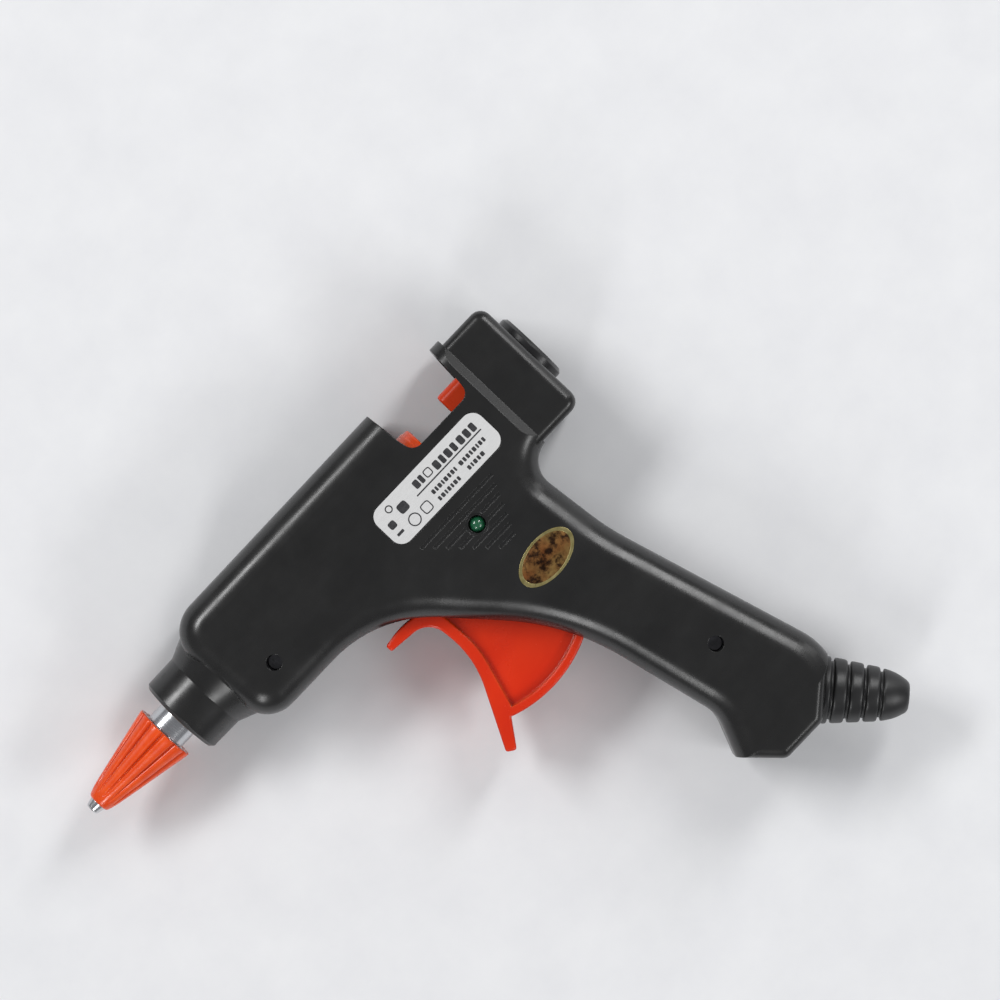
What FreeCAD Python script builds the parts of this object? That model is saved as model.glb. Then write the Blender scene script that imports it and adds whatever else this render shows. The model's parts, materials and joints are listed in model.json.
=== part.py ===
import FreeCAD, Part

import math
import os

import Sketcher

# A small mains glue gun for 7 mm sticks, lying on its right side. Lengths are millimetres.
# Stations run along the barrel from the nozzle tip, heights are measured up from the barrel's
# axis, and depths from the parting plane between the two casing shells, positive to the left.

V = FreeCAD.Vector
doc = FreeCAD.newDocument("glue_gun")
pieces = {}


# ---------------------------------------------------------------- driving dimensions

DIMENSIONS = [
    ("origin_station", 90.0, "station of the resting point, where the row origin lies"),
    # casing
    ("half_width", 14.5, "parting plane to the flat side of the casing"),
    ("wall", 2.0, "casing wall"),
    ("edge_round", 6.5, "round between the casing's side and its rim"),
    ("barrel_front", 41.0, "front of the barrel's shoulder"),
    ("barrel_top", 16.0, "top of the barrel at its front"),
    ("barrel_top_rear", 16.6, "top of the barrel at its rear"),
    ("barrel_low", -17.0, "underside of the barrel"),
    ("grip_base", -109.1, "flat base of the grip"),
    ("base_round", 2.5, "round between the casing's side and the grip's end faces"),
    ("step_station", 134.8, "where the rear block starts"),
    ("step_band", 2.0, "sloped band in front of the rear block"),
    ("block_half_width", 13.0, "half thickness of the rear block"),
    ("block_rear", 147.5, "rear face"),
    ("block_top", 15.0, "top of the rear block"),
    ("block_low", -17.3, "underside of the rear block"),
    ("block_round", 2.5, "edge round of the rear block"),
    ("collar_front", 29.2, "front face of the casing"),
    ("collar_radius", 10.6, "round front collar"),
    ("notch_floor", 2.7, "floor of the feed notch"),
    ("groove_width", 0.8, "moulded groove in the casing side"),
    ("groove_depth", 0.35, "depth of a moulded groove"),
    ("groove_pitch", 2.18, "spacing of the moulded grooves"),
    ("groove_top", -14.0, "height of the longest groove"),
    ("seam_width", 0.12, "each shell's share of the seam between them"),
    ("seam_depth", 0.4, "depth of the seam"),
    # casing screws
    ("screw_radius", 0.95, "thread of a casing screw"),
    ("screw_head_radius", 1.7, "head of a casing screw"),
    ("screw_seat", 4.5, "depth of the screw head's seat"),
    ("well_radius", 1.9, "screw well"),
    ("boss_radius", 3.0, "screw boss"),
    ("peg_radius", 1.4, "locating peg of the rear block"),
    # hot end
    ("nozzle_tip", -0.7, "front of the nozzle"),
    ("cap_front", 1.5, "front of the silicone cap"),
    ("cap_rear", 24.5, "rear of the silicone cap, where the bare neck starts"),
    ("cap_rear_radius", 7.8, "largest radius of the cap"),
    ("neck_radius", 5.2, "neck of the heating chamber"),
    ("chamber_radius", 5.6, "tube of the heating chamber"),
    ("chamber_rear", 109.0, "rear end of the heating chamber"),
    ("flange_station", 58.0, "flange that holds the chamber in the casing"),
    ("flange_radius", 7.2, "chamber flange"),
    ("melt_radius", 2.2, "melted glue channel"),
    ("stick_bore", 3.7, "channel that takes the glue stick"),
    ("heater_front", 66.0, "front of the heater block"),
    ("heater_rear", 92.0, "rear of the heater block"),
    ("heater_floor", 6.6, "floor of the heater slot"),
    ("heater_roof", 10.2, "roof of the heater slot"),
    ("tablet_thickness", 1.7, "ceramic heating tablet"),
    ("electrode_thickness", 0.3, "contact plate"),
    ("film_thickness", 0.15, "insulating film"),
    ("sleeve_front", 100.0, "front of the inlet sleeve"),
    ("sleeve_rear", 115.0, "rear of the inlet sleeve"),
    ("sleeve_radius", 8.0, "silicone inlet sleeve"),
    # feed
    ("pivot_station", 95.0, "trigger pivot"),
    ("pivot_height", -25.8, "trigger pivot"),
    ("pin_radius", 1.5, "pivot pin"),
    ("running_gap", 0.05, "radial clearance of the trigger on its pin"),
    ("trigger_half", 6.5, "half width of the trigger's rim"),
    ("panel_half", 4.8, "half width of the trigger's web"),
    ("sweep_radius", 32.7, "lower edge of the trigger about its pivot"),
    ("rest_lean", 13.5, "lean of the trigger's arm at rest, in degrees"),
    ("pin_height", -12.3, "drive pin"),
    ("drive_pin_radius", 1.25, "drive pin"),
    ("arm_half", 2.2, "half thickness of the trigger's arm"),
    ("carriage_front", 125.0, "front face of the feed carriage at rest"),
    ("carriage_length", 12.0, "feed carriage block"),
    ("carriage_half", 7.0, "half width of the feed carriage"),
    ("carriage_top", 7.7, "top of the feed carriage"),
    ("bar_half", 4.6, "outer half width of the carriage's drive bars"),
    ("bar_top", -10.0, "top of the drive bars"),
    ("bar_low", -16.0, "underside of the drive bars"),
    ("bar_front", 88.5, "front of the drive bars"),
    ("rail_gap", 0.15, "clearance of the carriage's ears in their track"),
    ("spring_front", 72.5, "seat of the return spring"),
    ("spring_radius", 2.2, "mean radius of the return spring"),
    ("spring_wire", 0.3, "wire radius of the return spring"),
    # stick inlet
    ("inlet_rear", 149.8, "rear rim of the stick inlet"),
    ("inlet_bore", 3.8, "bore of the stick inlet"),
    ("inlet_tube", 6.0, "tube of the stick inlet"),
    ("inlet_rim", 9.2, "rim of the stick inlet behind the casing"),
    # lamp, plate and seal
    ("lamp_station", 110.2, "pilot lamp"),
    ("lamp_height", -19.5, "pilot lamp"),
    ("lamp_radius", 2.0, "pilot lamp body"),
    ("plate_station", 111.5, "middle of the rating plate"),
    ("plate_height", -5.5, "middle of the rating plate"),
    ("plate_length", 35.0, "rating plate"),
    ("plate_width", 10.8, "rating plate"),
    ("plate_round", 3.0, "corner of the rating plate"),
    ("seal_station", 115.7, "middle of the oval seal"),
    ("seal_height", -36.4, "middle of the oval seal"),
    ("seal_length", 16.5, "oval seal"),
    ("seal_width", 9.5, "oval seal"),
    # cord entry
    ("boot_station", 137.6, "where the strain relief leaves the grip"),
    ("boot_height", -104.8, "where the strain relief leaves the grip"),
    ("boot_slope", -51.5, "direction of the strain relief, in degrees"),
    ("cable_bore", 2.6, "bore of the strain relief for the cable"),
    ("boot_length", 20.5, "strain relief outside the grip"),
    ("lead_radius", 0.7, "inner lead"),
]


class Size:
    """A length that knows both its number and the sheet expression that drives it."""

    def __init__(self, value, text):
        self.value = value
        self.text = text

    def __float__(self):
        return float(self.value)

    def __add__(self, other):
        other = as_size(other)
        return Size(self.value + other.value, "(%s + %s)" % (self.text, other.text))

    def __radd__(self, other):
        return as_size(other) + self

    def __sub__(self, other):
        other = as_size(other)
        return Size(self.value - other.value, "(%s - %s)" % (self.text, other.text))

    def __rsub__(self, other):
        return as_size(other) - self

    def __mul__(self, factor):
        return Size(self.value * factor, "(%s * %s)" % (self.text, as_size(factor).text))

    def __neg__(self):
        return self * -1


def as_size(number):
    if isinstance(number, Size):
        return number
    return Size(float(number), "(%r)" % float(number))


def make_sheet():
    """Write the driving dimensions to a spreadsheet and hand back a Size for each."""
    sheet = doc.addObject("Spreadsheet::Sheet", "dims")
    sizes = {}
    for row, (alias, value, note) in enumerate(DIMENSIONS, start=1):
        sheet.set("A%d" % row, str(value))
        sheet.setAlias("A%d" % row, alias)
        sheet.set("B%d" % row, note)
        sizes[alias] = Size(value, "dims.%s" % alias)
    doc.recompute()
    return sizes


D = make_sheet()


# ---------------------------------------------------------------- building blocks

TURN = {
    "x": FreeCAD.Rotation(V(0, 1, 0), V(0, 0, 1), V(1, 0, 0), "XYZ"),
    "y": FreeCAD.Rotation(V(0, 0, 1), V(1, 0, 0), V(0, 1, 0), "XYZ"),
    "z": FreeCAD.Rotation(),
}


def bind(obj, prop, size):
    obj.setExpression(prop, as_size(size).text)


def move(obj, x, y, z, turn=None):
    """Turn an object about the origin, then bind where its origin goes."""
    if turn is not None:
        obj.Placement = FreeCAD.Placement(V(), turn)
    for letter, size in zip("xyz", (x, y, z)):
        bind(obj, "Placement.Base." + letter, size)
    return obj


def box(name, low, high):
    obj = doc.addObject("Part::Box", name)
    for prop, start, end in zip(("Length", "Width", "Height"), low, high):
        bind(obj, prop, as_size(end) - start)
    return move(obj, *low)


def rod(name, start, length, radius, axis="z"):
    obj = doc.addObject("Part::Cylinder", name)
    bind(obj, "Radius", radius)
    bind(obj, "Height", length)
    return move(obj, *start, TURN[axis])


def fuse(name, shapes):
    obj = doc.addObject("Part::MultiFuse", name)
    obj.Shapes = shapes
    return obj


def cut(name, base, tools):
    obj = doc.addObject("Part::Cut", name)
    obj.Base = base
    obj.Tool = tools[0] if len(tools) == 1 else fuse(name + "_tools", tools)
    return obj


def common(name, base, tool):
    obj = doc.addObject("Part::Common", name)
    obj.Base = base
    obj.Tool = tool
    return obj


def group(name, shapes):
    obj = doc.addObject("Part::Compound", name)
    obj.Links = shapes
    return obj


def mirrored(name, source):
    """The same shape on the other side of the parting plane."""
    obj = doc.addObject("Part::Mirroring", name)
    obj.Source = source
    obj.Normal = V(0, 0, 1)
    return obj


def corner_arc(before, here, after, radius):
    """Start, middle and end of the arc that rounds one corner."""
    back = (before - here).normalize()
    ahead = (after - here).normalize()
    half = back.getAngle(ahead) / 2
    reach = radius / math.tan(half)
    bulge = radius / math.sin(half) - radius
    return here + back * reach, here + (back + ahead).normalize() * bulge, here + ahead * reach


def rounded(corners):
    """Lines joined by tangent arcs, from a closed list of (x, y, radius) corners."""
    points = [V(float(x), float(y), 0) for x, y, _ in corners]
    radii = [float(radius) for _, _, radius in corners]
    count = len(corners)
    arcs = []
    for i, radius in enumerate(radii):
        if radius > 0:
            arcs.append(corner_arc(points[i - 1], points[i], points[(i + 1) % count], radius))
        else:
            arcs.append((points[i], None, points[i]))
    geometry = []
    for i, (start, middle, end) in enumerate(arcs):
        if middle is not None:
            geometry.append(Part.Arc(start, middle, end))
        following = arcs[(i + 1) % count][0]
        if end.distanceToPoint(following) > 1e-4:
            geometry.append(Part.LineSegment(end, following))
    return geometry


def inset(corners, distance):
    """A clockwise outline moved inward: outer corners get tighter and inner ones wider."""
    distance = float(distance)
    points = [V(float(x), float(y), 0) for x, y, _ in corners]
    count = len(points)
    moved = []
    for i, (_, _, radius) in enumerate(corners):
        back = (points[i] - points[i - 1]).normalize()
        ahead = (points[(i + 1) % count] - points[i]).normalize()
        back_normal = V(back.y, -back.x, 0)
        ahead_normal = V(ahead.y, -ahead.x, 0)
        turn = back.x * ahead.y - back.y * ahead.x
        shift = (back_normal + ahead_normal) * (distance / (1 + back_normal.dot(ahead_normal)))
        corner = points[i] + shift
        new_radius = float(radius) + (distance if turn > 0 else -distance)
        moved.append((corner.x, corner.y, new_radius if float(radius) > 0 else 0))
    return moved


def outline(name, geometry):
    sketch = doc.addObject("Sketcher::SketchObject", name)
    sketch.addGeometry(geometry, False)
    return sketch


def slab(name, corners, start, end, axis="z"):
    """A rounded outline extruded along an axis, between two positions on it."""
    sketch = outline(name + "_outline", rounded(corners))
    place = {"x": (start, 0, 0), "y": (0, start, 0), "z": (0, 0, start)}[axis]
    move(sketch, *place, TURN[axis])
    obj = doc.addObject("Part::Extrusion", name)
    obj.Base = sketch
    obj.DirMode = "Normal"
    obj.Solid = True
    bind(obj, "LengthFwd", as_size(end) - start)
    return obj


def origin_feature(body, role):
    return [item for item in body.Origin.OriginFeatures if item.Role == role][0]


def body_sketch(body, name, plane):
    sketch = body.newObject("Sketcher::SketchObject", name)
    sketch.AttachmentSupport = [(origin_feature(body, plane), "")]
    sketch.MapMode = "FlatFace"
    return sketch


def bound_polygon(sketch, points):
    """A closed polygon whose every corner is held to the sheet."""
    count = len(points)
    flat = [V(float(x), float(y), 0) for x, y in points]
    for i in range(count):
        sketch.addGeometry(Part.LineSegment(flat[i], flat[(i + 1) % count]), False)
    for i in range(count):
        sketch.addConstraint(Sketcher.Constraint("Coincident", i, 2, (i + 1) % count, 1))
    for i, point in enumerate(points):
        for kind, size in zip(("DistanceX", "DistanceY"), point):
            rule = Sketcher.Constraint(kind, -1, 1, i, 1, float(size))
            number = sketch.addConstraint(rule)
            if isinstance(size, Size):
                sketch.setExpression("Constraints[%d]" % number, size.text)


def turned(name, profile, axis="H_Axis"):
    """A PartDesign revolution of a (station, radius) profile about the barrel's axis."""
    body = doc.addObject("PartDesign::Body", name)
    sketch = body_sketch(body, name + "_profile", "XY_Plane")
    bound_polygon(sketch, profile)
    revolution = body.newObject("PartDesign::Revolution", name + "_revolution")
    revolution.Profile = sketch
    revolution.ReferenceAxis = (sketch, [axis])
    revolution.Angle = 360
    return body


def domed_slab(name, corners, height, edge_radius, below=math.inf):
    """A PartDesign pad from the parting plane, with its far edges rounded where they lie below a height."""
    body = doc.addObject("PartDesign::Body", name)
    sketch = body_sketch(body, name + "_outline", "XY_Plane")
    sketch.addGeometry(rounded(corners), False)
    pad = body.newObject("PartDesign::Pad", name + "_pad")
    pad.Profile = sketch
    bind(pad, "Length", height)
    doc.recompute()
    far = []
    for number, edge in enumerate(pad.Shape.Edges, start=1):
        is_far = all(abs(vertex.Z - float(height)) < 1e-4 for vertex in edge.Vertexes)
        if is_far and edge.BoundBox.YMax < below:
            far.append("Edge%d" % number)
    fillet = body.newObject("PartDesign::Fillet", name + "_round")
    fillet.Base = (pad, far)
    bind(fillet, "Radius", edge_radius)
    body.Tip = fillet
    return body


def softened(name, base, radius, chosen):
    """Rounds the edges of a shape that the given test picks."""
    doc.recompute()
    fillet = doc.addObject("Part::Fillet", name)
    fillet.Base = base
    edges = enumerate(base.Shape.Edges, start=1)
    fillet.Edges = [(number, radius, radius) for number, edge in edges if chosen(edge)]
    return fillet


def tube_along(points, radius):
    """A solid tube along straight runs joined by arcs as large as the runs allow."""
    points = [V(*[float(value) for value in point]) for point in points]
    edges = []
    start = points[0]
    for before, here, after in zip(points, points[1:], points[2:]):
        half = (before - here).getAngle(after - here) / 2
        run = min(before.distanceToPoint(here), here.distanceToPoint(after))
        arc_start, middle, arc_end = corner_arc(before, here, after, 0.45 * run * math.tan(half))
        edges.append(Part.LineSegment(start, arc_start).toShape())
        edges.append(Part.Arc(arc_start, middle, arc_end).toShape())
        start = arc_end
    edges.append(Part.LineSegment(start, points[-1]).toShape())
    path = Part.Wire(edges)
    section = Part.Wire(Part.makeCircle(float(radius), points[0], points[1] - points[0]))
    return path.makePipeShell([section], True, True)


def node(label, obj):
    """Name a finished sub-part and carry it from the barrel's frame to the resting frame."""
    obj.Label = label
    pieces[label] = obj
    if obj.TypeId == "Part::Feature":
        shift = V(-float(D["origin_station"]), 0, float(D["half_width"]))
        obj.Placement = FreeCAD.Placement(shift, FreeCAD.Rotation()).multiply(obj.Placement)
        return
    held = {path.lstrip("."): text for path, text in obj.ExpressionEngine}
    shifts = {"Placement.Base.x": "-dims.origin_station", "Placement.Base.z": "dims.half_width"}
    for prop, shift in shifts.items():
        obj.setExpression(prop, "%s + (%s)" % (shift, held.get(prop, "0")))


def shaped(label, shape):
    obj = doc.addObject("Part::Feature", label)
    obj.Shape = shape
    return obj


# ---------------------------------------------------------------- casing shells

PIVOT = (D["pivot_station"], D["pivot_height"])
SCREWS = [(54.6, -7.5), (128.2, -78.7)]
PEG = (142.2, -11.2)


def casing_corners():
    """The casing seen from its left side, clockwise from the top of the barrel's shoulder.

    The grip runs on below its base and the barrel behind its rear block; both are trimmed.
    """
    return [
        (D["barrel_front"], D["barrel_top"], 9.0),
        (152.0, D["barrel_top_rear"], 8.0),
        (152.0, -17.9, 8.0),
        (128.0, -17.9, 6.5),
        (130.5, -42.0, 60.0),
        (150.3, -114.05, 17.75),
        (106.6, -114.05, 8.0),
        (116.6, -90.3, 10.0),
        (107.8, -50.7, 60.0),
        (78.9, D["barrel_low"], 32.0),
        (D["barrel_front"] + 1.5, D["barrel_low"], 8.0),
    ]


def trim_corners():
    """The straight cuts that end the casing: rear step, cord facet, base and toe."""
    return [
        (20.0, 40.0, 0),
        (D["step_station"], 40.0, 0),
        (D["step_station"], -24.0, 0),
        (165.0, -24.0, 0),
        (165.0, -83.0, 0),
        (132.2, D["grip_base"], 2.5),
        (120.3, D["grip_base"], 2.5),
        (100.0, -87.2, 0),
        (20.0, -87.2, 0),
    ]


def block_corners(front):
    return [
        (front, D["block_top"], 0),
        (D["block_rear"], D["block_top"], 3.0),
        (D["block_rear"], D["block_low"], 3.0),
        (front, D["block_low"], 0),
    ]


def envelope(name, thickness, block_front):
    """Half of the casing's outer form, or of its hollow when a wall thickness is given."""
    form = domed_slab(
        name + "_form",
        inset(casing_corners(), thickness),
        D["half_width"] - thickness,
        D["edge_round"] - thickness,
    )
    trim = domed_slab(
        name + "_trim",
        inset(trim_corners(), thickness),
        D["half_width"] - thickness,
        D["base_round"] - as_size(thickness) * 0.5,
        below=-80.0,
    )
    body = common(name + "_body", form, trim)
    block = domed_slab(
        name + "_block",
        inset(block_corners(block_front), thickness),
        D["block_half_width"] - thickness,
        D["block_round"] - as_size(thickness) * 0.5,
    )
    radius = D["collar_radius"] - thickness
    front = D["collar_front"] + thickness
    collar = turned(name + "_collar", [
        (front, 0),
        (front, radius - 0.8),
        (front + 0.8, radius),
        (38.0, radius + 0.1),
        (43.0, radius + 2.2),
        (47.0, radius + 2.2),
        (47.0, 0),
    ])
    near = box(name + "_near", (0, -30, 0), (60, 30, 20))
    return fuse(name, [body, block, common(name + "_collar_half", collar, near)])


def notch_cutter():
    corners = [
        (109.6, 30.0, 0),
        (132.9, 30.0, 0),
        (131.2, 6.0, 6.0),
        (130.7, D["notch_floor"], 2.6),
        (112.4, D["notch_floor"], 2.8),
        (111.4, 8.0, 6.0),
    ]
    return slab("notch", corners, -20, 20)


def step_cutter(name):
    """Slopes the barrel's side down to the thinner rear block."""
    front = D["step_station"] - D["step_band"]
    corners = [
        (D["half_width"], front, 0),
        (22.0, front, 0),
        (22.0, 160.0, 0),
        (D["block_half_width"], 160.0, 0),
        (D["block_half_width"], D["step_station"], 0),
    ]
    return slab(name, corners, -24, 25, "y")


def groove_cutters():
    """Seven parallel grooves that shorten towards the grip, as an inverted triangle."""
    first, last = (97.1, 121.0), (109.8, 114.6)
    depth = D["half_width"] - D["groove_depth"]
    cutters = []
    for i in range(7):
        share = i / 6
        start = first[0] + share * (last[0] - first[0])
        end = first[1] + share * (last[1] - first[1])
        height = D["groove_top"] - D["groove_pitch"] * i
        low = (start, height - D["groove_width"] * 0.5, depth)
        high = (end, height + D["groove_width"] * 0.5, 20)
        cutters.append(box("groove_%d" % (i + 1), low, high))
    return cutters


def in_boot_frame(obj):
    """Carry a shape from the cord's frame (along it, across it, depth) to the grip's facet."""
    turn = FreeCAD.Rotation(V(0, 0, 1), float(D["boot_slope"]))
    return move(obj, D["boot_station"], D["boot_height"], 0, turn)


def drafted_hole(name, start, end, start_radius, end_radius):
    """A round hole along x that widens outward, so that the moulding leaves its core."""
    obj = doc.addObject("Part::Cone", name)
    bind(obj, "Radius1", start_radius)
    bind(obj, "Radius2", end_radius)
    bind(obj, "Height", end - start)
    return move(obj, start, 0, 0, TURN["x"])


def shell_ribs(name):
    """Ribs, bosses and tracks that both shells have, from the parting plane outward."""
    deep = D["half_width"] - 1.0
    ear_top = -2.2 + D["rail_gap"]
    ear_low = -4.8 - D["rail_gap"]
    track = D["carriage_half"] + 0.3
    hub_side = D["trigger_half"] + 0.4
    boot_rib = box(name + "_boot_rib", (-6.2, -8.5, 0), (-4.4, 8.5, deep))
    return [
        box(name + "_bush_rib", (33.4, -9.5, 0), (34.9, 9.5, deep)),
        box(name + "_neck_rib", (55.8, -16, 0), (57.8, 15, deep)),
        box(name + "_flange_rib", (60.2, -16, 0), (62.2, 15, deep)),
        box(name + "_spring_seat", (70.5, -17, 0), (D["spring_front"], -9.6, deep)),
        box(name + "_front_bulkhead", (105.5, -9.5, 0), (108.5, 15.5, deep)),
        box(name + "_rear_bulkhead", (133.0, 8.2, 0), (134.6, 14.5, deep - 1)),
        box(name + "_upper_track", (117, ear_top, track), (145.6, D["notch_floor"], deep - 1)),
        box(name + "_lower_track", (117, -9, track), (138, ear_low, deep)),
        box(name + "_inlet_rib", (141.0, -7.4, 0), (143.0, 12.5, deep - 2)),
        rod(name + "_pivot_boss", (*PIVOT, hub_side), deep - hub_side, 3.4),
        in_boot_frame(group(name + "_boot_rib_set", [boot_rib])),
    ]


def shell_openings(name):
    """Bores and slots that both shells share a half of."""
    slot_half = D["trigger_half"] + 0.4
    sweep = rod(name + "_sweep", (*PIVOT, -slot_half), slot_half * 2, D["sweep_radius"] + 0.5)
    window = box(name + "_window", (82, -62, -slot_half), (132, -16.6, slot_half))
    boot_hole = drafted_hole(name + "_boot_hole", -8, 4, 4.55, 4.65)
    return [
        rod(name + "_front_hole", (20, 0, 0), 16, 7.35, "x"),
        rod(name + "_neck_hole", (50, 0, 0), 8.5, D["neck_radius"] + 0.1, "x"),
        rod(name + "_chamber_hole", (59, 0, 0), 4, D["chamber_radius"] + 0.1, "x"),
        rod(name + "_sleeve_hole", (104, 0, 0), 6, D["sleeve_radius"] + 0.1, "x"),
        rod(name + "_inlet_hole", (140, 0, 0), 12, D["inlet_tube"] + 0.1, "x"),
        rod(name + "_pin_hole", (*PIVOT, -11.5), 23, D["pin_radius"]),
        common(name + "_slot", sweep, window),
        in_boot_frame(group(name + "_boot_bore", [boot_hole])),
    ]


def lamp_seat():
    """The tube that holds the pilot lamp behind the left shell's side."""
    at = (D["lamp_station"], D["lamp_height"])
    deep = D["half_width"] - 1
    posts = [rod("lamp_post_%d" % i, (at[0] + dx, at[1] - 2.6, 8.55), deep - 8.55, 1.2)
             for i, dx in enumerate((-4.4, 4.4), start=1)]
    return [rod("lamp_tube", (*at, 9.4), deep - 9.4, 3.5)] + posts


def lamp_openings():
    at = (D["lamp_station"], D["lamp_height"])
    side = D["half_width"]
    return [
        rod("lamp_hole", (*at, 9), 8, D["lamp_radius"] + 0.1),
        rod("lamp_recess", (*at, side - 0.9), 2, D["lamp_radius"] + 0.7),
    ]


def plate_corners(grow):
    half_length = D["plate_length"] * 0.5 + grow
    half_width = D["plate_width"] * 0.5 + grow
    x, y = D["plate_station"], D["plate_height"]
    radius = D["plate_round"] + grow
    return [
        (x - half_length, y + half_width, radius),
        (x + half_length, y + half_width, radius),
        (x + half_length, y - half_width, radius),
        (x - half_length, y - half_width, radius),
    ]


def make_shells():
    outer = envelope("outer", 0, 130.0)
    inner = envelope("inner", D["wall"], 126.0)
    seam_block = box("seam_block", (0, -130, 0), (180, 40, D["seam_width"]))
    seam = cut("seam", seam_block, [envelope("seam_core", D["seam_depth"], 130.0)])
    half_skin = cut("half_skin", outer, [inner, step_cutter("step"), seam])
    sides = {"left": half_skin, "right": mirrored("right_skin", half_skin)}
    shells = {}
    for side, skin in sides.items():
        ribs = shell_ribs(side)
        if side == "left":
            ribs += lamp_seat()
        ribs += [rod("%s_boss_%d" % (side, i), (x, y, 0), D["half_width"] - 1, D["boss_radius"])
                 for i, (x, y) in enumerate(SCREWS + [PEG], start=1)]
        inside = common(side + "_ribs", fuse(side + "_rib_set", ribs), outer_copy(side))
        if side == "right":
            inside = mirrored("right_ribs_mirrored", inside)
        openings = shell_openings(side) + [notch_cutter()]
        if side == "left":
            openings += left_openings()
        else:
            openings += right_openings()
        posts = clamp_posts() + [locating_peg()] if side == "right" else []
        solid = fuse(side + "_solid", [skin, inside] + posts)
        shells[side] = cut(side + "_casing", solid, openings)
    node("left_shell", shells["left"])
    node("right_shell", shells["right"])


def outer_copy(side):
    """The casing's outer form trimmed by its step, which keeps ribs inside the skin."""
    return cut(side + "_limit", doc.getObject("outer"), [step_cutter(side + "_limit_step")])


def locating_peg():
    """Peg of the right shell that lines the rear block up with the left one."""
    return rod("locating_peg", (*PEG, -2), 5, D["peg_radius"])


def left_openings():
    socket = rod("peg_socket", (*PEG, -1), 4.2, D["peg_radius"] + 0.05)
    recess = slab("plate_recess", plate_corners(0.15), D["half_width"] - 0.3, 20)
    wells = []
    for i, (x, y) in enumerate(SCREWS, start=1):
        wells.append(rod("well_%d" % i, (x, y, D["screw_seat"]), 12, D["well_radius"]))
        wells.append(rod("clearance_%d" % i, (x, y, -1), 8, D["screw_radius"] + 0.2))
    return [recess, socket] + wells + lamp_openings() + groove_cutters()


def right_openings():
    pilots = [rod("pilot_%d" % i, (x, y, -8.5), 10, D["screw_radius"])
              for i, (x, y) in enumerate(SCREWS, start=1)]
    grooves = mirrored("right_grooves", fuse("right_groove_set", groove_cutters()))
    return pilots + clamp_pilots() + [grooves]


# ---------------------------------------------------------------- cord clamp

CLAMP_BACK = -11.5
CLAMP_HALF = 5.4


def clamp_posts():
    """Two posts of the right shell that the cord clamp is screwed to."""
    depth = D["half_width"] - 1
    posts = [rod("clamp_post_%d" % i, (CLAMP_BACK, across, depth * -1), depth + 2.4, 2.3)
             for i, across in enumerate((-CLAMP_HALF, CLAMP_HALF), start=1)]
    return [in_boot_frame(fuse("clamp_posts", posts))]


def clamp_pilots():
    pilots = [rod("clamp_pilot_%d" % i, (CLAMP_BACK, across, -6), 10, 0.95)
              for i, across in enumerate((-CLAMP_HALF, CLAMP_HALF), start=1)]
    return [in_boot_frame(fuse("clamp_pilots", pilots))]


def make_cord_clamp():
    plate = slab("clamp_plate", [
        (CLAMP_BACK - 2.4, CLAMP_HALF + 2.4, 2.2),
        (CLAMP_BACK + 2.4, CLAMP_HALF + 2.4, 2.2),
        (CLAMP_BACK + 2.4, -CLAMP_HALF - 2.4, 2.2),
        (CLAMP_BACK - 2.4, -CLAMP_HALF - 2.4, 2.2),
    ], 2.4, 4.0)
    holes = [rod("clamp_hole_%d" % i, (CLAMP_BACK, across, 0), 6, 1.1)
             for i, across in enumerate((-CLAMP_HALF, CLAMP_HALF), start=1)]
    ridges = [box("clamp_ridge_%d" % i, (CLAMP_BACK + along - 0.4, -2.2, 2.0),
                  (CLAMP_BACK + along + 0.4, 2.2, 2.6)) for i, along in enumerate((-1.3, 1.3), start=1)]
    clamp = fuse("clamp", [cut("clamp_drilled", plate, holes)] + ridges)
    node("cord_clamp", in_boot_frame(clamp))
    screws = [machine_screw("clamp_screw_%d" % i, CLAMP_BACK, across, 4.0, 7.5, 0.95, 1.7, 1.1)
              for i, across in enumerate((-CLAMP_HALF, CLAMP_HALF), start=1)]
    node("clamp_screws", in_boot_frame(group("clamp_screw_pair", screws)))


def machine_screw(name, x, y, seat, length, radius, head_radius, head_height):
    """A pan-head screw along the depth axis, its head outward, with a cross recess."""
    seat = as_size(seat)
    shank = rod(name + "_shank", (x, y, seat - length), length + 0.2, radius)
    head = rod(name + "_head", (x, y, seat), head_height, head_radius)
    top = seat + head_height
    recess = [
        box(name + "_slot_1", (x - 1.1, y - 0.25, top - 0.6), (x + 1.1, y + 0.25, top + 1)),
        box(name + "_slot_2", (x - 0.25, y - 1.1, top - 0.6), (x + 0.25, y + 1.1, top + 1)),
    ]
    return cut(name, fuse(name + "_blank", [shank, head]), recess)


def make_casing_screws():
    screws = [machine_screw("casing_screw_%d" % i, x, y, D["screw_seat"], 12.0,
                            D["screw_radius"], D["screw_head_radius"], 1.3)
              for i, (x, y) in enumerate(SCREWS, start=1)]
    node("casing_screws", group("casing_screw_set", screws))


# ---------------------------------------------------------------- hot end

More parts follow.
